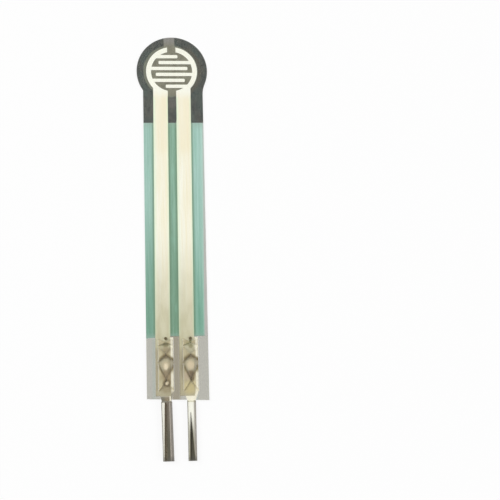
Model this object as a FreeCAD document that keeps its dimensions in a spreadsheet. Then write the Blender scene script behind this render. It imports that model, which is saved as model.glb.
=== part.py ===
"""Force sensing resistor: a laminated film sensor with a round head and two crimped solder pins.

Millimetres. The sensor lies flat with its rear adhesive on z = 0 and its pressed side up.
The origin is the centre of the sensing disc, the head points to +Y and the pins to -Y.
"""

import FreeCAD, Part
import Sketcher
import math
import os
import re

# Driving sizes, all lengths but the four turns of the pins, which are in degrees
SIZES = {
    # Laminate, from the mounting side up
    "rear_adhesive": 0.05,
    "rear_film": 0.10,
    "spacer": 0.05,
    "front_film": 0.10,
    "carbon_ink": 0.012,
    "green_ink": 0.025,
    "silver_ink": 0.015,
    # Outline of the films
    "head_diameter": 7.54,
    "head_shift": -0.07,
    "head_rise": 0.06,
    "neck_round": 3.00,
    "tail_width": 6.35,
    "film_reach": 35.0,
    "end_slant": 0.23,
    "bare_end": 6.5,
    # Opening and vent of the spacer, over the sensing disc
    "opening_margin": 0.17,
    "opening_shift": -0.13,
    "opening_rise": 0.04,
    "vent_width": 1.16,
    "vent_shift": -0.23,
    # Carbon and green prints on the neck and tail
    "neck_reach": 5.73,
    "green_margin_top": 0.10,
    "green_margin_bottom": 0.35,
    "green_droop": 0.20,
    # Silver print
    "print_shift": -0.10,
    "print_drift": 0.18,
    "ring_diameter": 5.46,
    "ring_line": 0.53,
    "electrode_gap": 0.90,
    "trace_width": 1.54,
    "silver_inset": 0.38,
    "finger_width": 0.37,
    "finger_space": 0.294,
    "finger_corner": 0.12,
    "outer_tip_gap": 0.79,
    "middle_tip_gap": 0.57,
    "centre_tip_gap": 0.475,
    # Crimped contacts
    "pin_pitch": 2.54,
    "contact_shift": 0.085,
    "contact_sheet": 0.18,
    "crimp_width": 1.57,
    "crimp_setback": 0.10,
    "nose_corner": 0.17,
    "taper_length": 1.05,
    "claw_lift": 0.06,
    "claw_shoulder": 0.27,
    "claw_tip_thickness": 0.09,
    "claw_tip_gap": 0.12,
    "claw_tip_width": 0.12,
    "short_claw_root": 0.66,
    "middle_claw_root": 1.46,
    "long_claw_root": 2.80,
    "long_claw_sweep": 0.28,
    "first_claw_setback": 0.53,
    "front_claw_step": 1.23,
    "back_claw_step": 2.36,
    "slit_clearance": 0.02,
    "prick_diameter": 0.30,
    "prick_setback": 0.13,
    # Folded solder pins
    "left_pin_width": 1.06,
    "right_pin_width": 0.88,
    "pin_depth": 0.60,
    "pin_corner": 0.12,
    "pin_length": 6.08,
    "pin_clearance": 0.10,
    "neck_inset": 0.04,
    "flange_ramp": 0.20,
    "flange_step": 0.065,
    "left_pin_lean": 0.13,
    "right_pin_lean": 0.02,
    "left_root_turn": 18.0,
    "left_tip_turn": 26.0,
    "right_root_turn": 0.0,
    "right_tip_turn": 4.0,
    "left_slot_root": 0.46,
    "left_slot_tip": 0.66,
    "left_slot_shift": 0.12,
    "left_slot_setback": 0.0,
    "right_slot_root": 0.04,
    "right_slot_tip": 0.52,
    "right_slot_shift": -0.12,
    "right_slot_setback": 1.20,
}

LEFT, RIGHT = -1, 1
SAME_PLACE = 0.001

# Heights of the layers' faces
REAR_FILM_BASE = "rear_adhesive"
SPACER_BASE = "(rear_adhesive + rear_film)"
FRONT_FILM_BASE = "(rear_adhesive + rear_film + spacer)"
FILM_TOP = "(rear_adhesive + rear_film + spacer + front_film)"
SILVER_BASE = f"({FRONT_FILM_BASE} - silver_ink)"
GREEN_BASE = f"({FRONT_FILM_BASE} - green_ink)"
CARBON_TOP = f"({SPACER_BASE} + carbon_ink)"
CONTACT_BASE = f"({SILVER_BASE} - contact_sheet)"

# Stations along the tail
REAR_END = "(film_reach - bare_end)"
SILVER_END = "(film_reach - silver_inset)"
CONTACT_FRONT = f"({REAR_END} + crimp_setback)"
PIN_ROOT = "(film_reach + pin_clearance)"
PIN_TIP = f"({PIN_ROOT} + pin_length)"

# Sensing disc
RING_OUTER = "(ring_diameter / 2)"
RING_INNER = "(ring_diameter / 2 - ring_line)"
RING_MIDDLE = "(ring_diameter / 2 - ring_line / 2)"

doc = FreeCAD.newDocument("force_sensing_resistor")
sheet = doc.addObject("Spreadsheet::Sheet", "Sizes")
for row, (alias, size) in enumerate(SIZES.items(), start=1):
    sheet.set(f"A{row}", alias.replace("_", " "))
    sheet.set(f"B{row}", str(size))
    sheet.setAlias(f"B{row}", alias)
doc.recompute()


def bound(formula):
    """The formula with every size read from the sheet."""
    def from_sheet(word):
        return f"Sizes.{word[0]}" if word[0] in SIZES else word[0]
    return re.sub(r"[a-z_]+", from_sheet, formula)


def add_body(name):
    """A body whose label names its node."""
    body = doc.addObject("PartDesign::Body", name)
    body.Label = name
    return body


def add_sketch(body, name, plane, distance):
    """A sketch on one of the body's own planes, moved along the plane's normal."""
    sketch = body.newObject("Sketcher::SketchObject", name)
    origin_plane = next(item for item in body.Origin.OriginFeatures if item.Role == plane)
    sketch.AttachmentSupport = [(origin_plane, "")]
    sketch.MapMode = "FlatFace"
    sketch.setExpression("AttachmentOffset.Base.z", bound(distance))
    return sketch


def constrain(sketch, formula, value, *terms):
    """A constraint that starts at the drawn value and is bound to a formula."""
    index = sketch.addConstraint(Sketcher.Constraint(*terms, value))
    sketch.setExpression(f"Constraints[{index}]", bound(formula))


def add_corner_points(sketch, corners):
    """One construction point for each corner, with both of its coordinates bound."""
    points = []
    for corner in corners:
        point = sketch.addGeometry(Part.Point(FreeCAD.Vector(1, 1, 0)), True)
        constrain(sketch, corner[0], 1.0, "DistanceX", -1, 1, point, 1)
        constrain(sketch, corner[1], 1.0, "DistanceY", -1, 1, point, 1)
        points.append(point)
    doc.recompute()
    places = [FreeCAD.Vector(sketch.Geometry[i].X, sketch.Geometry[i].Y, 0) for i in points]
    return points, places


def add_outline(sketch, corners):
    """A closed outline of straight sides. A corner is (x, y) or (x, y, radius), as formulas."""
    points, places = add_corner_points(sketch, corners)
    count = len(corners)
    lengths = [(places[(i + 1) % count] - places[i]).Length for i in range(count)]
    trims = [min(lengths[i - 1], lengths[i]) / 4 if len(corners[i]) == 3 else 0
             for i in range(count)]
    sides = []
    for i in range(count):
        start, end = places[i], places[(i + 1) % count]
        along = (end - start).normalize()
        side = Part.LineSegment(start + along * trims[i], end - along * trims[(i + 1) % count])
        sides.append(sketch.addGeometry(side))
    rules, radii = [], []
    for i in range(count):
        before, after = sides[i - 1], sides[i]
        if len(corners[i]) == 2:
            rules.append(Sketcher.Constraint("Coincident", before, 2, points[i], 1))
            rules.append(Sketcher.Constraint("Coincident", after, 1, points[i], 1))
            continue
        arc, first, last = round_corner(places[i], places[i - 1], places[(i + 1) % count], trims[i])
        index = sketch.addGeometry(arc)
        rules.append(Sketcher.Constraint("PointOnObject", points[i], 1, before))
        rules.append(Sketcher.Constraint("PointOnObject", points[i], 1, after))
        rules.append(Sketcher.Constraint("Tangent", before, 2, index, first))
        rules.append(Sketcher.Constraint("Tangent", index, last, after, 1))
        rules.append(Sketcher.Constraint("Radius", index, arc.Radius))
        radii.append((index, corners[i][2]))
    first_rule = sketch.ConstraintCount
    sketch.addConstraint(rules)
    for offset, rule in enumerate(rules):
        if rule.Type == "Radius":
            radius = next(formula for index, formula in radii if index == rule.First)
            sketch.setExpression(f"Constraints[{first_rule + offset}]", bound(radius))


def round_corner(corner, previous, following, trim):
    """The arc tangent to both sides of a corner, and its end that meets each side."""
    back, ahead = (previous - corner).normalize(), (following - corner).normalize()
    half_angle = back.getAngle(ahead) / 2
    centre = corner + (back + ahead).normalize() * (trim / math.cos(half_angle))
    start, end = corner + back * trim - centre, corner + ahead * trim - centre
    circle = Part.Circle(centre, FreeCAD.Vector(0, 0, 1), trim * math.tan(half_angle))
    start_angle, end_angle = math.atan2(start.y, start.x), math.atan2(end.y, end.x)
    if back.cross(ahead).z < 0:
        return Part.ArcOfCircle(circle, start_angle, end_angle), 1, 2
    return Part.ArcOfCircle(circle, end_angle, start_angle), 2, 1


def add_circle(sketch, x, y, radius):
    """A circle with its centre and radius bound."""
    circle = sketch.addGeometry(Part.Circle(FreeCAD.Vector(1, 1, 0), FreeCAD.Vector(0, 0, 1), 1))
    constrain(sketch, x, 1.0, "DistanceX", -1, 1, circle, 3)
    constrain(sketch, y, 1.0, "DistanceY", -1, 1, circle, 3)
    constrain(sketch, radius, 1.0, "Radius", circle)


def pad(body, sketch, height):
    """Material added along the sketch's normal."""
    feature = body.newObject("PartDesign::Pad", sketch.Name + "_pad")
    feature.Profile = sketch
    feature.setExpression("Length", bound(height))
    doc.recompute()


def pocket_up(body, sketch, depth=None):
    """Material removed along the sketch's normal, through everything when no depth is given."""
    before = body.Shape.Volume
    feature = body.newObject("PartDesign::Pocket", sketch.Name + "_pocket")
    feature.Profile = sketch
    feature.Reversed = True
    if depth is None:
        feature.Type = "ThroughAll"
    else:
        feature.setExpression("Length", bound(depth))
    doc.recompute()
    if body.Shape.Volume >= before:
        raise RuntimeError(f"{feature.Name} cuts nothing")


def layer_outline(body, name, base, height, start, end, drop="0"):
    """A layer with the head's disc and the tail, from the head down to the given station."""
    with_head = start == "head"
    if with_head:
        disc = add_sketch(body, f"{name}_head", "XY_Plane", base)
        add_circle(disc, "head_shift", "head_rise", "head_diameter / 2")
        pad(body, disc, height)
    tail = add_sketch(body, f"{name}_tail", "XY_Plane", base)
    top = "head_rise" if with_head else f"-{start}"
    add_outline(tail, [
        ("-tail_width / 2", f"-{end} + {drop}"),
        ("tail_width / 2", f"-{end} - {drop}"),
        ("tail_width / 2", top),
        ("-tail_width / 2", top),
    ])
    pad(body, tail, height)
    if with_head:
        round_neck(body)


def round_neck(body):
    """The soft corner between the head's disc and the tail's right side, where the disc stands out."""
    side, middle = SIZES["tail_width"] / 2, SIZES["head_rise"]

    def at_neck(edge):
        box = edge.BoundBox
        upright = box.XLength + box.YLength < SAME_PLACE
        under_disc = -side < box.YMin < middle - SAME_PLACE
        return upright and under_disc and abs(box.XMin - side) < SAME_PLACE

    plain = body.Tip
    edges = [f"Edge{i}" for i, edge in enumerate(plain.Shape.Edges, start=1) if at_neck(edge)]
    if not edges:
        return
    fillet = body.newObject("PartDesign::Fillet", f"{body.Label}_neck_round")
    fillet.Base = (plain, edges)
    fillet.setExpression("Radius", bound("neck_round"))
    doc.recompute()


def trace_corners(side):
    """A trace with its contact pad, from the disc's centre line down to its end."""
    inner = f"print_shift + {side} * electrode_gap / 2"
    outer = f"print_shift + {side} * (electrode_gap / 2 + trace_width)"
    return [
        (inner, "0"),
        (outer, "0"),
        (f"{outer} - print_drift", f"-{SILVER_END}"),
        (f"{inner} - print_drift", f"-{SILVER_END}"),
    ]


def green_corners():
    """The green print: it reaches the left edge and stops a little short of the right one."""
    return [
        ("-tail_width / 2", "-neck_reach"),
        ("-tail_width / 2", f"-{REAR_END} - green_droop"),
        ("-electrode_gap", f"-{REAR_END}"),
        ("tail_width / 2 - green_margin_bottom", f"-{REAR_END}"),
        ("tail_width / 2 - green_margin_top", "-neck_reach"),
    ]


def contact_centre(side):
    """Where a contact's centre line lies across the tail."""
    return f"(contact_shift + {side} * pin_pitch / 2)"


# Claw pairs of a contact: how far behind its front edge their roots' middle lies,
# how long their roots are, and how far their tips are swept back
CLAWS = [
    ("first_claw_setback", "short_claw_root", "0"),
    ("first_claw_setback + front_claw_step", "middle_claw_root", "0"),
    ("first_claw_setback + front_claw_step + back_claw_step", "long_claw_root", "long_claw_sweep"),
]


def claw_station(setback):
    """The y of the middle of a claw pair's roots."""
    return f"-({CONTACT_FRONT} + {setback})"


def cut_claw_slits(body, side):
    """The slits that the claws of one contact pierce, and the round prick at its nose."""
    centre = contact_centre(side)
    word = "left" if side == LEFT else "right"
    slits = add_sketch(body, f"{body.Label}_{word}_slits", "XY_Plane", SILVER_BASE)
    for setback, root, _ in CLAWS:
        half = f"({root} / 2 + slit_clearance)"
        for edge in (LEFT, RIGHT):
            near = f"{centre} + {edge} * (crimp_width / 2 - contact_sheet - slit_clearance)"
            far = f"{centre} + {edge} * (crimp_width / 2 + slit_clearance)"
            add_outline(slits, [
                (near, f"{claw_station(setback)} - {half}"),
                (far, f"{claw_station(setback)} - {half}"),
                (far, f"{claw_station(setback)} + {half}"),
                (near, f"{claw_station(setback)} + {half}"),
            ])
    add_circle(slits, centre, f"-({CONTACT_FRONT} + prick_setback)",
               "prick_diameter / 2 + slit_clearance")
    pocket_up(body, slits)


def make_rear_adhesive():
    body = add_body("rear_adhesive")
    layer_outline(body, "glue", "0", "rear_adhesive", "head", REAR_END)


def make_rear_film():
    body = add_body("rear_film")
    layer_outline(body, "carrier", REAR_FILM_BASE, "rear_film", "head", REAR_END)


def make_carbon_layer():
    body = add_body("carbon_layer")
    layer_outline(body, "carbon", SPACER_BASE, "carbon_ink", "head", "neck_reach")


def make_spacer_adhesive():
    """The adhesive fills what the prints leave between the films, apart from the opening."""
    body = add_body("spacer_adhesive")
    layer_outline(body, "neck", CARBON_TOP, "spacer - carbon_ink", "head", "neck_reach")
    layer_outline(body, "spread", SPACER_BASE, "spacer", "neck_reach", REAR_END)
    opening = add_sketch(body, "opening", "XY_Plane", SPACER_BASE)
    add_circle(opening, "print_shift + opening_shift", "opening_rise",
               f"{RING_OUTER} + opening_margin")
    pocket_up(body, opening)
    vent = add_sketch(body, "vent", "XY_Plane", SPACER_BASE)
    middle = "print_shift + vent_shift"
    add_outline(vent, [
        (f"{middle} - vent_width / 2", "opening_rise"),
        (f"{middle} + vent_width / 2", "opening_rise"),
        (f"{middle} + vent_width / 2", "head_diameter"),
        (f"{middle} - vent_width / 2", "head_diameter"),
    ])
    pocket_up(body, vent)
    green = add_sketch(body, "green_bed", "XY_Plane", GREEN_BASE)
    add_outline(green, green_corners())
    pocket_up(body, green)
    traces = add_sketch(body, "trace_beds", "XY_Plane", SILVER_BASE)
    for side in (LEFT, RIGHT):
        add_outline(traces, trace_corners(side))
    pocket_up(body, traces)


def make_green_insulation():
    """The print lies against the film between the traces, and over the backs of the traces."""
    body = add_body("green_insulation")
    print_area = add_sketch(body, "print_area", "XY_Plane", GREEN_BASE)
    add_outline(print_area, green_corners())
    pad(body, print_area, "green_ink")
    traces = add_sketch(body, "covered_traces", "XY_Plane", SILVER_BASE)
    for side in (LEFT, RIGHT):
        add_outline(traces, trace_corners(side))
    pocket_up(body, traces)


def make_electrode(side):
    """Half the ring with three fingers, the trace, and the pad that the contact is crimped on."""
    word = "left" if side == LEFT else "right"
    body = add_body(f"{word}_electrode")
    disc = add_sketch(body, f"{word}_disc", "XY_Plane", SILVER_BASE)
    add_circle(disc, "print_shift", "0", RING_OUTER)
    pad(body, disc, "silver_ink")
    trace = add_sketch(body, f"{word}_trace", "XY_Plane", SILVER_BASE)
    add_outline(trace, trace_corners(side))
    pad(body, trace, "silver_ink")
    hollow = add_sketch(body, f"{word}_ring_hollow", "XY_Plane", SILVER_BASE)
    add_circle(hollow, "print_shift", "0", RING_INNER)
    pocket_up(body, hollow)
    other_half = add_sketch(body, f"{word}_other_half", "XY_Plane", SILVER_BASE)
    cut = f"print_shift + {side} * electrode_gap / 2"
    far = f"print_shift - {side} * ring_diameter"
    add_outline(other_half, [
        (cut, "-ring_diameter"),
        (far, "-ring_diameter"),
        (far, "ring_diameter"),
        (cut, "ring_diameter"),
    ])
    pocket_up(body, other_half)
    add_fingers(body, side, word)
    cut_claw_slits(body, side)


def add_fingers(body, side, word):
    """Three fingers with round tips. The fingers of the two electrodes take turns."""
    tip_gaps = ["outer_tip_gap", "middle_tip_gap", "centre_tip_gap",
                "centre_tip_gap", "middle_tip_gap", "outer_tip_gap"]
    first = 0 if side == LEFT else 1
    middle = (len(tip_gaps) - 1) / 2
    fingers = add_sketch(body, f"{word}_fingers", "XY_Plane", SILVER_BASE)
    for number in range(first, len(tip_gaps), 2):
        height = f"({middle - number} * (finger_width + finger_space))"
        root = f"print_shift + {side} * sqrt({RING_MIDDLE}^2 - {height}^2)"
        tip = (f"print_shift - {side} * (sqrt({RING_INNER}^2 - {height}^2)"
               f" - {tip_gaps[number]})")
        half = "finger_width / 2"
        add_outline(fingers, [
            (root, f"{height} - {half}"),
            (tip, f"{height} - {half}", "finger_corner"),
            (tip, f"{height} + {half}", "finger_corner"),
            (root, f"{height} + {half}"),
        ])
    pad(body, fingers, "silver_ink")


def make_front_film():
    body = add_body("front_film")
    layer_outline(body, "film", FRONT_FILM_BASE, "front_film", "head", "film_reach",
                  "end_slant / 2")
    for side in (LEFT, RIGHT):
        cut_claw_slits(body, side)


def add_base_strip(body, word, centre):
    """The flat strip behind the film, with a rounded nose, narrowing to the pin's width."""
    strip = add_sketch(body, f"{word}_strip", "XY_Plane", CONTACT_BASE)
    taper_start = f"({PIN_ROOT} - taper_length)"
    inside_pin = f"({PIN_ROOT} + flange_ramp)"
    wide, narrow = "crimp_width / 2", f"({word}_pin_width / 2 - neck_inset)"
    add_outline(strip, [
        (f"{centre} - {wide}", f"-{CONTACT_FRONT}", "nose_corner"),
        (f"{centre} - {wide}", f"-{taper_start}"),
        (f"{centre} - {narrow}", f"-{PIN_ROOT}"),
        (f"{centre} - {narrow}", f"-{inside_pin}"),
        (f"{centre} + {narrow}", f"-{inside_pin}"),
        (f"{centre} + {narrow}", f"-{PIN_ROOT}"),
        (f"{centre} + {wide}", f"-{taper_start}"),
        (f"{centre} + {wide}", f"-{CONTACT_FRONT}", "nose_corner"),
    ])
    pad(body, strip, "contact_sheet")


def add_rolled_edges(body, word, centre):
    """Both edges of the strip rolled up and over the film, before the claws are cut apart."""
    first, last = CLAWS[0], CLAWS[-1]
    start = f"({CONTACT_FRONT} + {first[0]} - {first[1]} / 2)"
    length = f"{last[0]} + {last[1]} / 2 - ({first[0]} - {first[1]} / 2)"
    section = add_sketch(body, f"{word}_rolled_section", "XZ_Plane", start)
    outer, inner = "crimp_width / 2", "(crimp_width / 2 - contact_sheet)"
    crest_under = f"{FILM_TOP} + claw_lift"
    crest = f"{crest_under} + contact_sheet"
    tip_top = f"{FILM_TOP} + claw_tip_thickness"
    half_gap = "claw_tip_gap / 2"
    inner_round = "claw_shoulder - contact_sheet"
    add_outline(section, [
        (f"{centre} - {outer}", CONTACT_BASE),
        (f"{centre} + {outer}", CONTACT_BASE),
        (f"{centre} + {outer}", crest, "claw_shoulder"),
        (f"{centre} + {half_gap}", tip_top),
        (f"{centre} + {half_gap}", FILM_TOP),
        (f"{centre} + {inner}", crest_under, inner_round),
        (f"{centre} + {inner}", SILVER_BASE),
        (f"{centre} - {inner}", SILVER_BASE),
        (f"{centre} - {inner}", crest_under, inner_round),
        (f"{centre} - {half_gap}", FILM_TOP),
        (f"{centre} - {half_gap}", tip_top),
        (f"{centre} - {outer}", crest, "claw_shoulder"),
    ])
    pad(body, section, length)


def cut_claws(body, word, centre):
    """The gaps that leave pointed claws: narrow at the roots, wide between the tips."""
    gaps = add_sketch(body, f"{word}_claw_gaps", "XY_Plane", SILVER_BASE)
    outside, tip = "(crimp_width / 2 + slit_clearance)", "claw_tip_gap / 2"
    edges = []
    for setback, root, sweep in CLAWS:
        station = claw_station(setback)
        edges.append((f"{station} + {root} / 2", f"{station} - {sweep} + claw_tip_width / 2",
                      f"{station} - {sweep} - claw_tip_width / 2", f"{station} - {root} / 2"))
    for ahead, behind in zip(edges, edges[1:]):
        add_outline(gaps, [
            (f"{centre} - {outside}", behind[0]),
            (f"{centre} - {tip}", behind[1]),
            (f"{centre} + {tip}", behind[1]),
            (f"{centre} + {outside}", behind[0]),
            (f"{centre} + {outside}", ahead[3]),
            (f"{centre} + {tip}", ahead[2]),
            (f"{centre} - {tip}", ahead[2]),
            (f"{centre} - {outside}", ahead[3]),
        ])
    for root_edge, tip_edge in (edges[0][:2], edges[-1][:1:-1]):
        add_outline(gaps, [
            (f"{centre} - {outside}", root_edge),
            (f"{centre} - {tip}", tip_edge),
            (f"{centre} + {tip}", tip_edge),
            (f"{centre} + {outside}", root_edge),
        ])
    pocket_up(body, gaps)


def add_prick(body, word, centre):
    """The small round point that pierces the film at the contact's nose."""
    prick = add_sketch(body, f"{word}_prick", "XY_Plane", SILVER_BASE)
    add_circle(prick, centre, f"-({CONTACT_FRONT} + prick_setback)", "prick_diameter / 2")
    pad(body, prick, f"{FILM_TOP} - {SILVER_BASE} + claw_lift")


def pin_corner_at(word, centre, lean, turn, across, up):
    """A point of the pin's section, which is turned about the pin's own axis and stands on z = 0."""
    level = f"({word}_pin_width / 2 * sin({turn}) + pin_depth / 2 * cos({turn}))"
    x = f"{centre} + {lean} + ({across}) * cos({turn}) - ({up}) * sin({turn})"
    z = f"{CONTACT_BASE} + {level} + ({across}) * sin({turn}) + ({up}) * cos({turn})"
    return x, z


def add_pin_section(body, word, end, centre, station, lean, turn):
    """The outside of the folded pin at one of its ends."""
    section = add_sketch(body, f"{word}_pin_{end}", "XZ_Plane", station)
    half_width, half_depth = f"{word}_pin_width / 2", "pin_depth / 2"
    corners = [(f"-{half_width}", f"-{half_depth}"), (half_width, f"-{half_depth}"),
               (half_width, half_depth), (f"-{half_width}", half_depth)]
    add_outline(section, [
        (*pin_corner_at(word, centre, lean, turn, across, up), "pin_corner")
        for across, up in corners
    ])
    return section


def add_slot_section(body, word, end, centre, station, lean, turn, shift):
    """The inside of the folded pin at one end of its slot: it is open at the top."""
    section = add_sketch(body, f"{word}_slot_{end}_section", "XZ_Plane", station)
    floor, above = "contact_sheet - pin_depth / 2", "pin_depth"
    near, far = (f"{shift} {sign} {word}_slot_{end} / 2" for sign in "-+")
    add_outline(section, [
        pin_corner_at(word, centre, lean, turn, across, up)
        for across, up in ((near, floor), (far, floor), (far, above), (near, above))
    ])
    return section


def loft(body, kind, name, first, last):
    """A straight blend from one section to another."""
    feature = body.newObject(f"PartDesign::{kind}Loft", name)
    feature.Profile = first
    feature.Sections = [last]
    feature.Ruled = True
    doc.recompute()


def add_pin(body, word, centre):
    """The folded pin: a bar turned and leaning as it was bent, with the fold's slot cut in it."""
    lean, tip_turn, root_turn = f"{word}_pin_lean", f"{word}_tip_turn", f"{word}_root_turn"
    root = add_pin_section(body, word, "root", centre, PIN_ROOT, "0", root_turn)
    tip = add_pin_section(body, word, "tip", centre, PIN_TIP, lean, tip_turn)
    loft(body, "Additive", f"{word}_pin_bar", root, tip)
    setback = f"{word}_slot_setback"
    share = f"({setback} / pin_length)"
    slot_turn = f"({root_turn} + ({tip_turn} - {root_turn}) * {share})"
    slot_root = add_slot_section(body, word, "root", centre, f"{PIN_ROOT} + {setback}",
                                 f"{lean} * {share}", slot_turn, f"{word}_slot_shift")
    slot_tip = add_slot_section(body, word, "tip", centre, PIN_TIP, lean, tip_turn, "0")
    loft(body, "Subtractive", f"{word}_pin_slot", slot_root, slot_tip)


def cut_flange_ramp(body, word, centre):
    """The folded flanges rise from the strip in a ramp."""
    width = f"{word}_pin_width"
    ramp = add_sketch(body, f"{word}_flange_ramp", "YZ_Plane", f"{centre} - {width}")
    above = f"pin_depth + {width}"
    add_outline(ramp, [
        (f"-{PIN_ROOT} + pin_clearance / 2", SILVER_BASE),
        (f"-{PIN_ROOT} + pin_clearance / 2", above),
        (f"-{PIN_ROOT} - flange_ramp", above),
        (f"-{PIN_ROOT} - flange_ramp", f"{CONTACT_BASE} + pin_depth - flange_step"),
        (f"-{PIN_ROOT}", SILVER_BASE),
    ])
    pocket_up(body, ramp, f"2 * {width}")


def make_contact(side):
    """One stamping: strip, claws and folded pin."""
    word = "left" if side == LEFT else "right"
    centre = contact_centre(side)
    body = add_body(f"{word}_contact")
    add_base_strip(body, word, centre)
    add_rolled_edges(body, word, centre)
    cut_claws(body, word, centre)
    add_prick(body, word, centre)
    add_pin(body, word, centre)
    cut_flange_ramp(body, word, centre)


make_rear_adhesive()
make_rear_film()
make_carbon_layer()
make_spacer_adhesive()
make_green_insulation()
for electrode_side in (LEFT, RIGHT):
    make_electrode(electrode_side)
make_front_film()
for contact_side in (LEFT, RIGHT):
    make_contact(contact_side)
doc.recompute()

for item in doc.Objects:
    if "Invalid" in item.State or "Error" in item.State:
        raise RuntimeError(f"{item.Label} failed: {item.State}")
bodies = [item for item in doc.Objects if item.TypeId == "PartDesign::Body"]
for node in bodies:
    if node.Shape.isNull() or not node.Shape.isValid() or len(node.Shape.Solids) != 1:
        raise RuntimeError(f"{node.Label} is not one valid solid")

os.makedirs("parts", exist_ok=True)
for node in bodies:
    node.Shape.exportStep(f"parts/{node.Label}.step")
    box = node.Shape.optimalBoundingBox()
    print(f"{node.Label}: {node.Shape.Volume:.4f} mm3, x {box.XMin:.3f} {box.XMax:.3f},"
          f" y {box.YMin:.3f} {box.YMax:.3f}, z {box.ZMin:.3f} {box.ZMax:.3f}")
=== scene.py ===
"""Looks of the force sensing resistor: films, prints, crimped contacts, pale floor and soft light."""
import math

import bpy
from mathutils import Matrix, Vector

MM = 0.001
FLOOR_DROP = 0.002 * MM
LAYER_GAP = 0.001 * MM

# The photograph's camera
IMAGE_SIZE = 500
SENSOR_WIDTH = 36.0
FOCAL_PIXELS = 1200.0
CAMERA_PLACE = Vector((-3.955, -42.429, 123.376)) * MM
CAMERA_TURN = Vector((0.183903, -0.092139, -0.019921))
NEAREST_SEEN = 5 * MM

# Floor, room and lamps, in metres and watts. A room shade is its height of 0 to 1 and its grey,
# and a lamp is its place, width and power
FLOOR_HALF = 8.0
FLOOR_GREY = 0.94
FLOOR_GLOW = 0.84
ROOM_SHADES = ((0.02, 0.16), (0.75, 0.64))
LAMP_AIM = (0, -0.02, 0)
LAMPS = {
    "key": ((-0.25, 0.10, 0.40), 0.30, 0.98),
    "fill": ((0.35, -0.15, 0.30), 0.25, 0.50),
}

# Prints, in millimetres, as they lie on the film
PRINT_SHIFT = -0.10
PRINT_DRIFT = 0.18
SILVER_END = -34.62
TRACE_INNER = 0.45
TRACE_OUTER = 1.99
RING_OUTER = 2.73
OPENING_CENTRE = (-0.23, 0.04)
OPENING_RADIUS = 2.90
VENT_LEFT = -0.91
VENT_RIGHT = 0.25
NECK_END = -5.73
LAMINATE_END = -28.5
TAIL_HALF = 3.175
GREEN_DROOP = 0.20
DROOP_START = -0.90
HEAD_CENTRE = (-0.07, 0.06)
HEAD_RADIUS = 3.77
FILM_TOP = 0.30
FILM_INDEX = 1.5
NOISE_ROUGHNESS = 0.55

# Contacts, in millimetres. A claw pair is the middle of its roots, their length and the tips' sweep
CONTACT_CENTRES = {"left": -1.185, "right": 1.355}
CONTACT_BASE = 0.005
CONTACT_SHEET = 0.18
CONTACT_FRONT = -28.60
CONTACT_HALF = 0.785
CLAWS = ((-29.13, 0.66, 0.0), (-30.36, 1.46, 0.0), (-32.72, 2.80, 0.28))
CLAW_SIDE = 0.805
CLAW_TIP = 0.06
TAPER_START = -34.05

# Pins, in millimetres and degrees: half width, lean at the tip, turn at root and tip,
# the slot's width at its start and at the tip, and where it starts along and across the pin
PIN_ROOT = -35.10
PIN_TIP = -41.18
PIN_DEPTH = 0.60
PINS = {
    "left": {"half": 0.53, "lean": 0.13, "turns": (18.0, 26.0),
             "slot": (0.46, 0.66), "slot_start": -35.10, "slot_shift": 0.12},
    "right": {"half": 0.44, "lean": 0.02, "turns": (0.0, 4.0),
              "slot": (0.04, 0.52), "slot_start": -36.30, "slot_shift": -0.12},
}

# Stretches along the head and tail where the looks change, in millimetres, the lower end first
VENT_PALES = (2.6, 3.6)
CARBON_RIM_ENDS = (-2.2, -1.6)
SILVER_WHITENS = (-3.5, -2.0)
TRACES_END = (-3.2, -2.6)
NECK_PATCH = (-4.0, -2.7)
WARM_TRACES = (-9.0, -2.7)
GREEN_START = (-6.6, -5.7)
GREEN_DULLS = (-27.5, -13.0)
SPACER_GREENS = (-24.0, -8.0)
SILVER_DULLS = (-28.5, -16.5)
TAIL_END = (LAMINATE_END - 0.1, LAMINATE_END + 0.5)
PAD_DULLS = (-30.3, -29.2)

# Stretches along the contacts and pins, given in the same way
# Painted highlights on the LIT_ stretches, painted shade on DIM_MIDDLE, painted shadow along claw edges
LIT_FRONT = (-30.7, -28.7)
LIT_BACK = {"left": (-33.8, -32.2), "right": (-34.4, -32.2)}
DIM_MIDDLE = (-31.95, -30.75)
KITE = {"left": (-32.3, -30.5), "right": (-33.0, -30.5)}
DARK_EDGES_AND_SHADOW = (-32.4, -30.45)
CLAW_EDGES_END = (-33.4, -32.6)
CLAW_LEGS = (-34.2, -33.4)
CLAWS_END = (-34.3, -34.1)
STRIP_END = (-34.5, -34.3)
NECK_CORNER = (-34.5, -33.9)
NECK_FOLD = (-34.8, -34.4)
SLOT_OPENS = (-38.6, -36.5)
PIN_DARKENS = (-39.5, -36.0)
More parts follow.
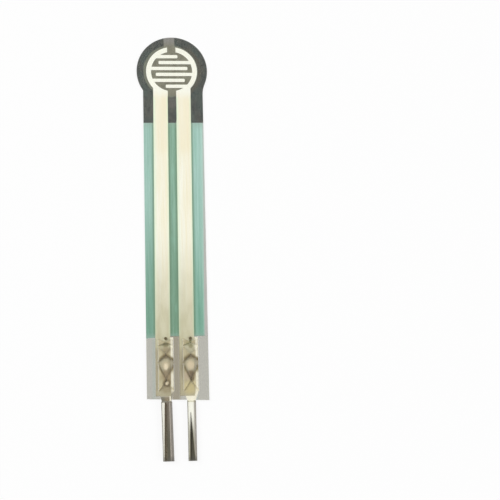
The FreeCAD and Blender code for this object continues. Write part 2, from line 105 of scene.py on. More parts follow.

# Marks of the crimping, browned places with painted shade and painted highlights: place across from
# the contact's centre and along the sensor, half width and half height in millimetres, colour and
# strength
CRIMP_MARKS_AND_SHADING = {
    "left": (
        (0.00, -29.38, 0.36, 0.26, (120, 112, 70), 0.90),
        (0.08, -29.95, 0.46, 0.44, (164, 150, 116), 0.90),
        (0.00, -30.55, 0.36, 0.30, (126, 108, 74), 0.80),
        (0.36, -32.50, 0.24, 1.75, (134, 124, 94), 0.75),
        (0.00, -31.45, 0.44, 0.44, (202, 188, 156), 0.90),
        (0.00, -32.50, 0.52, 0.66, (156, 138, 106), 0.90),
        (0.00, -33.80, 0.60, 0.60, (158, 145, 112), 0.80),
        (-0.02, -31.62, 0.22, 0.36, (238, 224, 194), 0.90),
    ),
    "right": (
        (-0.02, -28.98, 0.16, 0.34, (122, 122, 72), 0.85),
        (0.02, -29.50, 0.26, 0.30, (134, 128, 88), 0.80),
        (-0.30, -29.30, 0.24, 0.22, (160, 158, 110), 0.60),
        (0.00, -30.05, 0.40, 0.30, (192, 188, 158), 0.70),
        (0.00, -30.60, 0.38, 0.28, (132, 116, 84), 0.75),
        (-0.80, -31.75, 0.30, 1.15, (150, 139, 110), 0.85),
        (0.02, -32.45, 0.44, 0.50, (116, 96, 64), 0.90),
        (0.12, -32.92, 0.24, 0.30, (94, 76, 44), 0.90),
        (0.00, -31.50, 0.42, 0.50, (218, 202, 170), 0.95),
        (-0.45, -32.60, 0.40, 0.50, (186, 168, 146), 0.60),
        (-0.10, -33.80, 0.75, 0.70, (204, 190, 138), 0.80),
    ),
}

# The small ring pressed into the left contact, painted as a shaded rim with a highlight, placed as the
# marks are
PRESSED_RING = (0.06, -33.30)
PRESSED_RING_RADIUS = 0.34


def linear(red, green, blue):
    """An sRGB colour of 0 to 255 as linear light, with full opacity."""
    def one(value):
        share = value / 255
        return share / 12.92 if share <= 0.04045 else ((share + 0.055) / 1.055) ** 2.4
    return (one(red), one(green), one(blue), 1.0)


class Field:
    """A number that varies over a surface. Arithmetic on it makes Math nodes."""

    def __init__(self, tree, socket):
        self.tree, self.socket = tree, socket

    def _math(self, operation, *others):
        node = self.tree.nodes.new("ShaderNodeMath")
        node.operation = operation
        for slot, value in zip(node.inputs, (self, *others)):
            if isinstance(value, Field):
                self.tree.links.new(value.socket, slot)
            else:
                slot.default_value = value
        return Field(self.tree, node.outputs[0])

    def __add__(self, other):
        return self._math("ADD", other)

    def __sub__(self, other):
        return self._math("SUBTRACT", other)

    def __mul__(self, other):
        return self._math("MULTIPLY", other)

    def __truediv__(self, other):
        return self._math("DIVIDE", other)

    def __rsub__(self, other):
        return (self * -1.0) + other

    def size(self):
        return self._math("ABSOLUTE")

    def least(self, other):
        return self._math("MINIMUM", other)

    def most(self, other):
        return self._math("MAXIMUM", other)

    def root(self):
        return self._math("SQRT")

    def fade(self, low, high):
        """0 below low, 1 above high and smooth between."""
        node = self.tree.nodes.new("ShaderNodeMapRange")
        node.interpolation_type = "SMOOTHSTEP"
        self.tree.links.new(self.socket, node.inputs["Value"])
        node.inputs["From Min"].default_value = low
        node.inputs["From Max"].default_value = high
        return Field(self.tree, node.outputs["Result"])

    def between(self, low, high, soft):
        """1 from low to high and 0 outside, with soft ends."""
        return self.fade(low - soft, low + soft) * (1.0 - self.fade(high - soft, high + soft))


class Finish:
    """A material under construction. Its x, y and z are the place on the object, in millimetres."""

    def __init__(self, name):
        self.material = bpy.data.materials.new(name)
        self.material.use_nodes = True
        self.tree = self.material.node_tree
        self.tree.nodes.clear()
        self.out = self.tree.nodes.new("ShaderNodeOutputMaterial")
        self.place = self.tree.nodes.new("ShaderNodeTexCoord").outputs["Object"]
        parts = self.tree.nodes.new("ShaderNodeSeparateXYZ")
        self.tree.links.new(self.place, parts.inputs[0])
        self.x, self.y, self.z = (Field(self.tree, parts.outputs[i]) / MM for i in range(3))

    def noise(self, grain, detail=3.0, seed=0.0):
        """Noise of 0 to 1. Grain is the size of its features along X, Y and Z, in millimetres."""
        mapping = self.tree.nodes.new("ShaderNodeMapping")
        mapping.inputs["Scale"].default_value = [1 / (size * MM) for size in grain]
        mapping.inputs["Location"].default_value = (seed, seed, seed)
        self.tree.links.new(self.place, mapping.inputs["Vector"])
        node = self.tree.nodes.new("ShaderNodeTexNoise")
        node.inputs["Scale"].default_value = 1.0
        node.inputs["Detail"].default_value = detail
        node.inputs["Roughness"].default_value = NOISE_ROUGHNESS
        self.tree.links.new(mapping.outputs[0], node.inputs["Vector"])
        return Field(self.tree, node.outputs[0])

    def blend(self, share, first, second):
        """The colour that is first where share is 0 and second where it is 1."""
        node = self.tree.nodes.new("ShaderNodeMix")
        node.data_type = "RGBA"
        self._feed(share, node.inputs["Factor"])
        self._feed(first, node.inputs[6])
        self._feed(second, node.inputs[7])
        return node.outputs[2]

    def _feed(self, value, slot):
        if isinstance(value, Field):
            value = value.socket
        if isinstance(value, bpy.types.NodeSocket):
            self.tree.links.new(value, slot)
        else:
            slot.default_value = value

    def from_point(self, x, y, width=1.0, height=1.0):
        """Distance from a point on the film, in units of an oval's half width and half height."""
        across, along = (self.x - x) / width, (self.y - y) / height
        return (across * across + along * along).root()

    def bump(self, height, depth):
        """A bumped normal. Depth is the relief of height 0 to 1, in millimetres."""
        node = self.tree.nodes.new("ShaderNodeBump")
        node.inputs["Distance"].default_value = depth * MM
        self._feed(height, node.inputs["Height"])
        return node.outputs[0]

    def shader(self, kind, **values):
        """A shader node. A value's name is its socket's name with underscores for spaces."""
        node = self.tree.nodes.new(kind)
        for word, value in values.items():
            self._feed(value, node.inputs[word.replace("_", " ")])
        return node.outputs[0]

    def principled(self, **values):
        return self.shader("ShaderNodeBsdfPrincipled", **values)

    def mixed(self, share, first, second):
        """A shader that is first where share is 0 and second where it is 1."""
        node = self.tree.nodes.new("ShaderNodeMixShader")
        self._feed(share, node.inputs[0])
        self._feed(first, node.inputs[1])
        self._feed(second, node.inputs[2])
        return node.outputs[0]

    def gloss_share(self, index):
        """How much a flat outer face of a clear sheet mirrors, from 0 to 1."""
        fresnel = self.tree.nodes.new("ShaderNodeFresnel")
        fresnel.inputs["IOR"].default_value = index
        geometry = self.tree.nodes.new("ShaderNodeNewGeometry")
        normal = self.tree.nodes.new("ShaderNodeSeparateXYZ")
        self.tree.links.new(geometry.outputs["True Normal"], normal.inputs[0])
        flat = Field(self.tree, normal.outputs["Z"]).size().fade(0.3, 0.7)
        outside = 1.0 - Field(self.tree, geometry.outputs["Backfacing"])
        return Field(self.tree, fresnel.outputs[0]) * outside * flat

    def finished(self, surface):
        self.tree.links.new(surface, self.out.inputs["Surface"])
        return self.material


def from_print_middle(finish):
    """Signed distance from the prints' centre line, in millimetres: they run off along the tail."""
    return finish.x - PRINT_SHIFT + finish.y * (PRINT_DRIFT / SILVER_END)


def trace_edge(finish):
    """Distance from the nearest edge of a trace, in millimetres."""
    along = from_print_middle(finish).size()
    return (along - TRACE_INNER).size().least((along - TRACE_OUTER).size())


def strip_half(finish, side):
    """Half the width of a contact's base strip at each station, in millimetres."""
    share = ((finish.y * -1.0 + TAPER_START) / (TAPER_START - PIN_ROOT)).most(0.0).least(1.0)
    return share * (PINS[side]["half"] - CONTACT_HALF) + CONTACT_HALF


def backed(finish):
    """1 where a trace or a contact lies against the film's underside, 0 where it is bare."""
    soft = 0.03
    trace = from_print_middle(finish).size().between(TRACE_INNER, TRACE_OUTER, soft)
    covered = trace * finish.y.fade(SILVER_END - soft, SILVER_END + soft)
    for side, centre in CONTACT_CENTRES.items():
        inside = strip_half(finish, side) - (finish.x - centre).size()
        past_front = 1.0 - finish.y.fade(CONTACT_FRONT - soft, CONTACT_FRONT + soft)
        covered = covered.most(inside.fade(-soft, soft) * past_front)
    return covered


def past_prints(finish):
    """1 on the bare end of the tail. The green print's end droops towards the left edge."""
    share = ((finish.x * -1.0 + DROOP_START) / (TAIL_HALF + DROOP_START)).most(0.0).least(1.0)
    return 1.0 - (finish.y + share * GREEN_DROOP).fade(LAMINATE_END - 0.05, LAMINATE_END + 0.01)


def clear_sheet(finish, tint, haze, haze_colour, gloss_roughness):
    """Clear plastic: see-through, with some milky haze and a soft gloss on its flat outer faces."""
    body = finish.mixed(
        haze,
        finish.shader("ShaderNodeBsdfTransparent", Color=tint),
        finish.shader("ShaderNodeBsdfDiffuse", Color=haze_colour))
    mirror = finish.shader("ShaderNodeBsdfGlossy", Color=(1, 1, 1, 1), Roughness=gloss_roughness)
    return finish.mixed(finish.gloss_share(FILM_INDEX), body, mirror)


def front_film_finish():
    """Clear polyester. The bare end has nothing laminated to its matt underside and looks grey,
    with painted shade between the contacts.
    """
    finish = Finish("front_film_polyester")
    bare = past_prints(finish) * (1.0 - backed(finish))
    streaks = finish.noise((0.25, 9.0, 1.0), detail=4)
    from_middle = from_print_middle(finish).size()
    # Painted shade: on the bare end the film is darker and browner between the two contacts
    between = 1.0 - from_middle.fade(0.25, 0.75)
    haze = bare * (streaks * 0.12 + 0.24) + 0.004
    tint = finish.blend(bare, (0.995, 0.995, 0.992, 1), (0.83, 0.825, 0.785, 1))
    tint = finish.blend(bare * between, tint, (0.73, 0.70, 0.62, 1))
    grey = finish.blend(streaks, linear(156, 155, 147), linear(188, 187, 179))
    grey = finish.blend(between * 0.8, grey, linear(138, 130, 112))
    beside = from_middle.between(TRACE_OUTER + 0.02, TRACE_OUTER + 0.32, 0.12)
    grey = finish.blend(beside * 0.6, grey, linear(138, 168, 156))
    return finish.finished(clear_sheet(finish, tint, haze, grey, 0.22))


def rear_film_finish():
    """Clear polyester with a trace of haze."""
    finish = Finish("rear_film_polyester")
    haze = finish.noise((0.6, 6.0, 1.0)) * 0.04 + 0.02
    tint = (0.985, 0.985, 0.98, 1)
    return finish.finished(clear_sheet(finish, tint, haze, linear(206, 205, 200), 0.25))


def spacer_finish():
    """Clear over the carbon, and milky grey along the tail, where it shows beside the green print."""
    finish = Finish("clear_adhesive")
    cloud = finish.noise((0.8, 2.5, 1.0))
    tail = 1.0 - finish.y.fade(NECK_END - 0.05, NECK_END + 0.05)
    grey = finish.blend(cloud, linear(182, 181, 176), linear(202, 200, 195))
    grey = finish.blend(finish.y.fade(*SPACER_GREENS) * 0.8, grey, linear(190, 206, 198))
    haze = cloud * 0.03 + tail * 0.9
    return finish.finished(clear_sheet(finish, (0.985, 0.985, 0.975, 1), haze, grey, 0.4))


def rear_adhesive_finish():
    """Milky transfer adhesive with faint coating streaks."""
    finish = Finish("mounting_adhesive")
    streaks = finish.noise((0.5, 7.0, 1.0), detail=4)
    milky = finish.blend(streaks, linear(214, 212, 206), linear(230, 228, 222))
    haze = streaks * 0.15 + 0.75
    return finish.finished(clear_sheet(finish, (0.97, 0.97, 0.96, 1), haze, milky, 0.45))


def crimp_marks_and_shading(finish, colour):
    """Paints browned places, shade and highlights around both contacts, on metal and print alike."""
    blotches = finish.noise((0.35, 0.5, 1.0), detail=3, seed=11.0)
    for side, centre in CONTACT_CENTRES.items():
        for across, along, width, height, shade, strength in CRIMP_MARKS_AND_SHADING[side]:
            spot = finish.from_point(centre + across, along, width, height) + blotches * 0.35
            colour = finish.blend((1.0 - spot.fade(0.6, 1.5)) * strength, colour, linear(*shade))
    for side, centre in CONTACT_CENTRES.items():
        from_edge = inside_claws(finish, centre).size()
        inner = 1.0 - (finish.x - centre).size().fade(CONTACT_HALF - 0.12, CONTACT_HALF + 0.06)
        # Painted shadow along the claws' edges around the windows between them
        edge_shadow = (1.0 - from_edge.fade(0.06, 0.38)) * finish.y.between(*KITE[side], 0.3)
        colour = finish.blend(edge_shadow * inner * 0.7, colour, linear(126, 112, 80))
        # Painted light along the claws' lower legs, against their shade
        leg_light = (1.0 - from_edge.fade(0.02, 0.16)) * finish.y.between(*CLAW_LEGS, 0.2)
        colour = finish.blend(leg_light * inner * 0.7, colour, linear(226, 214, 172))
    # The pressed ring: a painted shaded rim and a painted highlight in its middle
    ring_across, ring_along = PRESSED_RING
    ring = finish.from_point(CONTACT_CENTRES["left"] + ring_across, ring_along,
                             PRESSED_RING_RADIUS, PRESSED_RING_RADIUS)
    colour = finish.blend(ring.between(0.5, 1.2, 0.4) * 0.85, colour, linear(110, 94, 62))
    return finish.blend((1.0 - ring.fade(0.15, 0.75)) * 0.9, colour, linear(250, 236, 204))


def silver_finish():
    """Printed silver: cream white at the head, duller and tan towards the contacts."""
    finish = Finish("silver_print")
    streaks = finish.noise((0.16, 5.0, 1.0), detail=4, seed=3.0)
    blotches = finish.noise((0.7, 1.9, 1.0), detail=3, seed=8.0)
    down = 1.0 - finish.y.fade(*SILVER_DULLS)
    fresh = finish.blend(streaks.fade(0.35, 0.65), linear(250, 246, 222), linear(255, 254, 240))
    fresh = finish.blend(finish.y.fade(*SILVER_WHITENS) * 0.7, fresh, linear(254, 255, 244))
    warm = finish.y.between(*WARM_TRACES, 0.7)
    fresh = finish.blend(warm * 0.5, fresh, linear(248, 238, 206))
    dull = finish.blend(blotches.fade(0.3, 0.7), linear(192, 187, 150), linear(208, 204, 174))
    colour = finish.blend(down * 0.92, fresh, dull)
    along = from_print_middle(finish)
    on_tail = finish.y.fade(*TAIL_END) * (1.0 - finish.y.fade(*TRACES_END))
    fresh_tail = on_tail * (1.0 - down * 0.9)
    for left_edge, right_edge in ((-TRACE_OUTER, -TRACE_INNER), (TRACE_INNER, TRACE_OUTER)):
        mint = 1.0 - (along - left_edge).size().fade(0.08, 0.42)
        cream = along.between((left_edge + right_edge) / 2, right_edge, 0.2)
        colour = finish.blend(mint * fresh_tail * 0.6, colour, linear(238, 250, 230))
        colour = finish.blend(cream * fresh_tail * 0.3, colour, linear(250, 240, 208))
    rim = (1.0 - trace_edge(finish).fade(0.05, 0.20)) * on_tail
    rim_colour = finish.blend(down, linear(234, 250, 218), linear(200, 214, 180))
    colour = finish.blend(rim * 0.6, colour, rim_colour)
    pad = 1.0 - finish.y.fade(*PAD_DULLS)
    colour = finish.blend(pad * 0.8, colour, linear(174, 165, 136))
    colour = crimp_marks_and_shading(finish, colour)
    grain = finish.noise((0.09, 0.09, 0.09), detail=2)
    return finish.finished(finish.principled(
        Base_Color=colour, Metallic=0.05, Roughness=0.5, Specular_IOR_Level=0.3,
        Normal=finish.bump(grain, 0.004)))


def carbon_finish():
    """Force sensing ink: paler where it faces the air in the opening and vent, dark under adhesive."""
    finish = Finish("carbon_ink")
    wobble = finish.noise((1.4, 1.4, 1.4), detail=2, seed=5.0) * 0.16 - 0.08
    from_centre = finish.from_point(*OPENING_CENTRE) + wobble
    disc = 1.0 - from_centre.fade(OPENING_RADIUS - 0.06, OPENING_RADIUS + 0.06)
    vent = finish.x.between(VENT_LEFT, VENT_RIGHT, 0.06) * finish.y.fade(0.0, 0.1)
    dry = disc.most(vent)
    mottle = finish.noise((0.5, 0.9, 1.0), detail=4, seed=1.0)
    streaks = finish.noise((0.22, 3.0, 1.0), detail=3, seed=2.0)
    wide = finish.noise((1.8, 2.2, 1.0), detail=2, seed=9.0)
    wet_colour = finish.blend(mottle.fade(0.38, 0.62), linear(26, 36, 28), linear(66, 70, 60))
    wet_colour = finish.blend(streaks.fade(0.45, 0.7) * 0.5, wet_colour, linear(80, 72, 58))
    wet_colour = finish.blend(wide.fade(0.45, 0.6) * 0.6, wet_colour, linear(42, 66, 58))
    beside = 1.0 - from_print_middle(finish).size().fade(TRACE_INNER - 0.1, TRACE_INNER + 0.1)
    patch = beside * finish.y.between(*NECK_PATCH, 0.25)
    wet_colour = finish.blend(patch * 0.5, wet_colour, linear(104, 98, 90))
    rim = finish.from_point(*HEAD_CENTRE).fade(HEAD_RADIUS - 0.45, HEAD_RADIUS)
    rim = rim * finish.y.fade(*CARBON_RIM_ENDS)
    wet_colour = finish.blend(rim * 0.55, wet_colour, linear(42, 48, 44))
    ring_side = finish.from_point(PRINT_SHIFT, 0.0).between(RING_OUTER, RING_OUTER + 0.45, 0.12)
    wet_colour = finish.blend(ring_side * finish.x.fade(0.8, 2.2) * 0.7, wet_colour, linear(78, 70, 48))
    dry_colour = finish.blend(mottle.fade(0.3, 0.7), linear(120, 119, 102), linear(140, 139, 121))
    dry_colour = finish.blend(finish.y.fade(*VENT_PALES) * 0.6, dry_colour, linear(148, 146, 147))
    halo = finish.from_point(PRINT_SHIFT, 0.0).fade(RING_OUTER - 0.05, RING_OUTER) * (1.0 - vent)
    dry_colour = finish.blend(halo * 0.8, dry_colour, linear(116, 121, 106))
    colour = finish.blend(dry, wet_colour, dry_colour)
    grain = finish.noise((0.06, 0.06, 0.06), detail=2)
    return finish.finished(finish.principled(
        Base_Color=colour, Roughness=0.7, Specular_IOR_Level=0.15, Normal=finish.bump(grain, 0.004)))


def green_finish():
    """Green insulating ink: paler towards the sides as painted light, darker between the traces as
    painted shade, and darker beside the traces.
    """
    finish = Finish("green_ink")
    along = from_print_middle(finish)
    streaks = finish.noise((0.2, 6.0, 1.0), detail=4, seed=4.0)
    blotches = finish.noise((0.9, 2.4, 1.0), detail=3, seed=6.0)
    # Painted light and shade: paler sides, lit from beyond the edges, and a darker middle between the
    # traces
    sides = finish.blend(streaks.fade(0.3, 0.7), linear(154, 196, 182), linear(176, 212, 202))
    middle = finish.blend(streaks.fade(0.3, 0.7), linear(126, 168, 144), linear(146, 186, 164))
    colour = finish.blend(along.size().fade(0.5, 1.4), middle, sides)
    down = 1.0 - finish.y.fade(*GREEN_DULLS)
    # The same painted light and shade, duller towards the contacts
    low_sides = finish.blend(streaks.fade(0.3, 0.7), linear(104, 162, 138), linear(130, 178, 156))
    low_middle = finish.blend(streaks.fade(0.3, 0.7), linear(104, 146, 118), linear(126, 164, 138))
    low = finish.blend(along.size().fade(0.5, 1.4), low_middle, low_sides)
    colour = finish.blend(down * 0.9, colour, low)
    left_side = 1.0 - along.fade(-1.4, -0.4)
    colour = finish.blend(left_side * (down * 0.25 + 0.1), colour, linear(100, 140, 116))
    colour = finish.blend(blotches.fade(0.5, 0.8) * 0.35, colour, linear(150, 206, 184))
    shade = 1.0 - trace_edge(finish).fade(0.04, 0.32)
    colour = finish.blend(shade * 0.8, colour, linear(106, 140, 112))
    # Painted light along the outer edges
    lit_margin = along.size().fade(2.85, 3.1) * 0.4
    colour = finish.blend(lit_margin, colour, linear(196, 222, 212))
    bare_end = (1.0 - finish.y.fade(*TAIL_END)) * 0.45
    colour = finish.blend(bare_end, colour, linear(158, 182, 172))
    head_end = finish.y.fade(*GREEN_START) * 0.35
    colour = finish.blend(head_end, colour, linear(150, 166, 152))
    return finish.finished(finish.principled(Base_Color=colour, Roughness=0.5, Specular_IOR_Level=0.3))


def inside_claws(finish, centre):
    """Depth inside the slanted edges of the nearest claw, in millimetres along the tail."""
    out = (finish.x - centre).size()
    share = (out - CLAW_TIP) / (CLAW_SIDE - CLAW_TIP)
    inside = None
    for station, root, sweep in CLAWS:
        upper = share * (root / 2 + sweep - CLAW_TIP) + (station - sweep + CLAW_TIP)
        lower = share * (sweep + CLAW_TIP - root / 2) + (station - sweep - CLAW_TIP)
        depth = (upper - finish.y).least(finish.y - lower)
        inside = depth if inside is None else inside.most(depth)
    return inside


def pin_place(finish, side):
    """Where a surface lies in the folded pin's own section: across it and up, in millimetres."""
    pin = PINS[side]
    share = ((finish.y * -1.0 + PIN_ROOT) / (PIN_ROOT - PIN_TIP)).most(0.0)

    def along_pin(value):
        first, last = (value(math.radians(turn)) for turn in pin["turns"])
        return share * (last - first) + first

    level = along_pin(lambda turn: pin["half"] * math.sin(turn) + PIN_DEPTH / 2 * math.cos(turn))
    x = finish.x - CONTACT_CENTRES[side] - share * pin["lean"]
    z = finish.z - CONTACT_BASE - level
    cosine, sine = along_pin(math.cos), along_pin(math.sin)
    return x * cosine + z * sine, z * cosine - x * sine


def pin_slot(finish, side, across):
    """Distance from the middle of the fold's slot and half the slot's width, in millimetres."""
    pin = PINS[side]
    slot_root, slot_tip = pin["slot"]
    share = ((finish.y * -1.0 + pin["slot_start"]) / (pin["slot_start"] - PIN_TIP)).most(0.0)
    slot_half = share * ((slot_tip - slot_root) / 2) + slot_root / 2
    return across - (1.0 - share) * pin["slot_shift"], slot_half


def pin_colour(finish, side, scuffs):
    """The pin's metal and the fold's share. Painted shade darkens the fold to brown and olive, the
    outer edges, the sides by the slot and the right pin's right side, painted light lifts the fold's
    far wall, and the cut tip is darkest.
    """
    across, up = pin_place(finish, side)
    from_slot, slot_half = pin_slot(finish, side, across)
    slot_start = PINS[side]["slot_start"]
    started = 1.0 - finish.y.fade(slot_start - 0.05, slot_start + 0.02)
    floor = CONTACT_SHEET - PIN_DEPTH / 2
    above_floor = up.fade(floor - 0.04, floor - 0.02)
    fold = (slot_half - from_slot.size()).fade(-0.03, 0.0) * above_floor * started
    down = 1.0 - finish.y.fade(*PIN_DARKENS)
    cream = finish.blend(scuffs, linear(244, 243, 226), linear(255, 255, 244))
    silver = finish.blend(scuffs, linear(186, 184, 174), linear(212, 211, 200))
    grey = finish.blend(scuffs, linear(148, 146, 134), linear(182, 180, 168))
    shaded = finish.blend(scuffs, linear(134, 128, 118), linear(162, 155, 145))
    deep = finish.blend(scuffs, linear(108, 97, 80), linear(138, 127, 108))
    olive = finish.blend(scuffs, linear(78, 74, 54), linear(102, 98, 76))
    # Painted shade: darker grey outer edges, shaded sides by the slot, and a brown and olive fold
    if side == "left":
        colour = finish.blend(across.fade(-0.50, -0.36), grey, silver)
        colour = finish.blend((from_slot - slot_half).fade(-0.06, 0.0), colour, shaded)
        fold_colour = finish.blend(down, deep, olive)
    else:
        colour = finish.blend(across.fade(-0.42, -0.24), grey, finish.blend(down, cream, silver))
        # Painted shade in olive grey around the right pin's opening slot
        slot_shade = 1.0 - (from_slot.size() - slot_half).fade(0.0, 0.24)
        opened = 1.0 - finish.y.fade(*SLOT_OPENS)
        colour = finish.blend(slot_shade * opened * 0.85, colour, linear(150, 147, 122))
        colour = finish.blend(across.fade(0.14, 0.28) * 0.85, colour, shaded)
        fold_colour = finish.blend(opened, silver, olive)
    # Painted light on the fold's far wall, against its shade
    lit_far_wall = 1.0 - from_slot.fade(-0.30, -0.12)
    fold_colour = finish.blend(lit_far_wall * 0.6, fold_colour, linear(176, 164, 140))
    colour = finish.blend(fold, colour, fold_colour)
    tip = 1.0 - finish.y.fade(PIN_TIP, PIN_TIP + 0.7)
    return finish.blend(tip * 0.6, colour, linear(88, 86, 80)), fold


def neck_colour(finish, across, colour):
    """The left contact's neck, with painted shade where it starts to fold and at its right corner."""
    # Painted shade in the crease where the fold starts and on the right corner
    folded = (1.0 - finish.y.fade(*NECK_FOLD)) * (1.0 - across.fade(0.24, 0.38))
    shadow = finish.blend(across.fade(-0.35, -0.05), linear(98, 93, 74), linear(124, 109, 80))
    colour = finish.blend(folded * 0.9, colour, shadow)
    shaded_far_corner = (1.0 - finish.y.fade(*NECK_CORNER)) * across.fade(0.40, 0.50)
    return finish.blend(shaded_far_corner * 0.9, colour, linear(140, 132, 110))


def contact_finish(side):
    """Tinned metal, tan where it was crimped. The claws' rolled right edges carry a painted highlight,
    their left roots painted light, the strip between the claw pairs painted shade, and their dark
    cut edges a painted shadow along them.
    """
    finish = Finish(f"{side}_contact_tin")
    centre = CONTACT_CENTRES[side]
    scuffs = finish.noise((0.12, 0.9, 0.12), detail=4, seed=2.0)
    tarnish = finish.noise((0.5, 0.7, 0.5), detail=4, seed=7.0)
    bright = finish.blend(scuffs, linear(244, 238, 212), linear(255, 252, 236))
    crimped = finish.blend(tarnish.fade(0.3, 0.7), linear(174, 163, 126), linear(196, 186, 150))
    above_film = finish.z.fade(FILM_TOP - 0.06, FILM_TOP + 0.02)
    claws = above_film * finish.y.fade(*CLAWS_END)
    colour = finish.blend(claws * 0.95, bright, crimped)
    colour = crimp_marks_and_shading(finish, colour)
    across = finish.x - centre
    under_film = (1.0 - above_film) * (1.0 - across.fade(0.38, 0.48)) * finish.y.fade(*STRIP_END)
    colour = finish.blend(under_film * 0.9, colour, crimped)
    # Painted shade on the strip under the film between the claw pairs
    dim = finish.y.between(*DIM_MIDDLE, 0.2)
    colour = finish.blend(dim * (1.0 - above_film) * 0.9, colour, linear(164, 156, 132))
    # Painted highlight along the claws' rolled right edges
    lit = finish.y.between(*LIT_FRONT, 0.15).most(finish.y.between(*LIT_BACK[side], 0.3))
    colour = finish.blend(across.fade(0.42, 0.58) * claws * lit * 0.92, colour, bright)
    # Painted light on the claws' left roots, against their shade
    lit_far_roots = (1.0 - across.fade(-0.78, -0.62)) * claws
    colour = finish.blend(lit_far_roots * 0.9, colour, linear(232, 224, 190))
    # The claws' dark cut edges, widened into a painted shadow along them
    wobble = finish.noise((0.3, 0.3, 0.3), detail=2, seed=13.0) * 0.2
    edge = 1.0 - (inside_claws(finish, centre) + wobble).fade(0.10, 0.60)
    strong = finish.y.between(*DARK_EDGES_AND_SHADOW, 0.3) * 0.6 + 0.15
    shown = strong * finish.y.fade(*CLAW_EDGES_END) * (1.0 - lit_far_roots)
    colour = finish.blend(edge * claws * shown, colour, linear(124, 110, 74))
    nose = 1.0 - finish.from_point(centre, CONTACT_FRONT - 0.13).fade(0.15, 0.2)
    colour = finish.blend(nose * above_film, colour, linear(96, 86, 58))
    if side == "left":
        colour = neck_colour(finish, across, colour)
    on_pin = 1.0 - finish.y.fade(PIN_ROOT - 0.02, PIN_ROOT + 0.02)
    pin_metal, fold = pin_colour(finish, side, scuffs)
    colour = finish.blend(on_pin, colour, pin_metal)
    metal = (on_pin * 0.25 + 0.3) * (1.0 - on_pin * fold) * (1.0 - claws * 0.6)
    rough = scuffs * 0.15 + claws * 0.16 + 0.36
    return finish.finished(finish.principled(
        Base_Color=colour, Metallic=metal, Roughness=rough, Normal=finish.bump(scuffs, 0.004)))


def separate(node):
    """Draws a layer's faces in by a thousandth of a millimetre, so that no two lie in one plane."""
    inset = node.modifiers.new("separate", "DISPLACE")
    inset.direction = "NORMAL"
    inset.mid_level = 0.0
    inset.strength = -LAYER_GAP


def dress(node, material):
    """Gives a node its only material."""
    node.data.materials.clear()
    node.data.materials.append(material)


def dress_nodes(nodes):
    """Gives every node its finish, and draws all but the contacts in a little."""
    silver = silver_finish()
    finishes = {
        "front_film": (front_film_finish(), "front_film"),
        "rear_film": (rear_film_finish(), "rear_film"),
        "spacer_adhesive": (spacer_finish(), "adhesive"),
        "rear_adhesive": (rear_adhesive_finish(), "adhesive"),
        "carbon_layer": (carbon_finish(), "carbon_print"),
        "green_insulation": (green_finish(), "green_print"),
        "left_electrode": (silver, "silver_print"),
        "right_electrode": (silver, "silver_print"),
        "left_contact": (contact_finish("left"), "tinned_contact"),
        "right_contact": (contact_finish("right"), "tinned_contact"),
    }
    for name, (material, slot) in finishes.items():
        dress(nodes[name], material)
        if "contact" not in name:
            separate(nodes[name])


def add_floor():
    """A wide pale sheet. Seen directly or mirrored it is near white, and it keeps soft shadows."""
    mesh = bpy.data.meshes.new("floor")
    corners = [(-FLOOR_HALF, -FLOOR_HALF), (FLOOR_HALF, -FLOOR_HALF),
               (FLOOR_HALF, FLOOR_HALF), (-FLOOR_HALF, FLOOR_HALF)]
    mesh.from_pydata([(x, y, -FLOOR_DROP) for x, y in corners], [], [(0, 1, 2, 3)])
    floor = bpy.data.objects.new("floor", mesh)
    bpy.context.scene.collection.objects.link(floor)
    finish = Finish("pale_floor")
    path = finish.tree.nodes.new("ShaderNodeLightPath").outputs
    seen = Field(finish.tree, path["Is Camera Ray"])
    for kind in ("Is Glossy Ray", "Is Transmission Ray"):
        seen = seen.most(Field(finish.tree, path[kind]))
    sheet = finish.shader("ShaderNodeBsdfDiffuse", Color=(FLOOR_GREY, FLOOR_GREY, FLOOR_GREY, 1))
    white = finish.shader("ShaderNodeEmission", Color=(1, 1, 1, 1), Strength=1.0)
    mesh.materials.append(finish.finished(finish.mixed(seen * FLOOR_GLOW, sheet, white)))


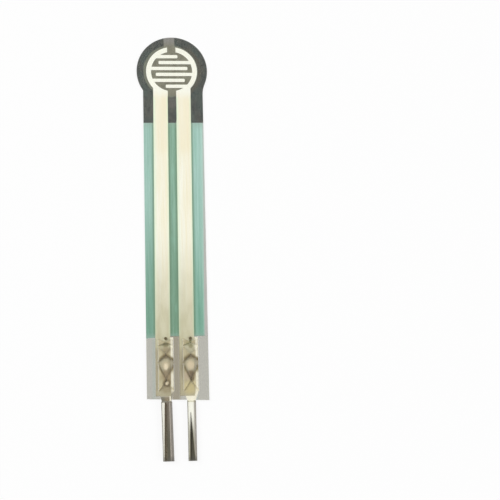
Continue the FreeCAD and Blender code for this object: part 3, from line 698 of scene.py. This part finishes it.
def add_world():
    """A soft pale room, darker near the floor."""
    world = bpy.data.worlds.new("studio")
    bpy.context.scene.world = world
    world.use_nodes = True
    tree = world.node_tree
    tree.nodes.clear()
    out = tree.nodes.new("ShaderNodeOutputWorld")
    background = tree.nodes.new("ShaderNodeBackground")
    ramp = tree.nodes.new("ShaderNodeValToRGB")
    for stop, (height, shade) in zip(ramp.color_ramp.elements, ROOM_SHADES):
        stop.position = height
        stop.color = (shade, shade, shade, 1)
    parts = tree.nodes.new("ShaderNodeSeparateXYZ")
    place = tree.nodes.new("ShaderNodeTexCoord")
    tree.links.new(place.outputs["Generated"], parts.inputs[0])
    tree.links.new(parts.outputs["Z"], ramp.inputs[0])
    tree.links.new(ramp.outputs[0], background.inputs["Color"])
    tree.links.new(background.outputs[0], out.inputs["Surface"])


def add_lamp(name, place, width, power):
    """A square soft lamp that faces the sensor."""
    data = bpy.data.lights.new(name, "AREA")
    data.shape = "SQUARE"
    data.size = width
    data.energy = power
    lamp = bpy.data.objects.new(name, data)
    lamp.location = place
    lamp.rotation_euler = (Vector(place) - Vector(LAMP_AIM)).to_track_quat("Z", "Y").to_euler()
    bpy.context.scene.collection.objects.link(lamp)


def add_camera():
    """The camera at the photograph's place and angle."""
    data = bpy.data.cameras.new("camera")
    data.sensor_width = SENSOR_WIDTH
    data.lens = FOCAL_PIXELS * SENSOR_WIDTH / IMAGE_SIZE
    data.clip_start = NEAREST_SEEN
    camera = bpy.data.objects.new("camera", data)
    turn = Matrix.Rotation(CAMERA_TURN.length, 4, CAMERA_TURN.normalized())
    camera.matrix_world = Matrix.Translation(CAMERA_PLACE) @ turn
    bpy.context.scene.collection.objects.link(camera)
    bpy.context.scene.camera = camera


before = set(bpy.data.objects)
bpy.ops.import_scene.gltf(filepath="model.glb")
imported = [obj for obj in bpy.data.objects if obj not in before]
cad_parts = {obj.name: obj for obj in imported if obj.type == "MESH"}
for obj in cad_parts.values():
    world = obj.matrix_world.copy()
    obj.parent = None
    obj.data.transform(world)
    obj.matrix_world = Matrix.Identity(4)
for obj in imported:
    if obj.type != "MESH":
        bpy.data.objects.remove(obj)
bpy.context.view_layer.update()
bpy.context.scene.view_settings.view_transform = "Standard"
dress_nodes(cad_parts)
add_floor()
add_world()
for name, lamp in LAMPS.items():
    add_lamp(name, *lamp)
add_camera()
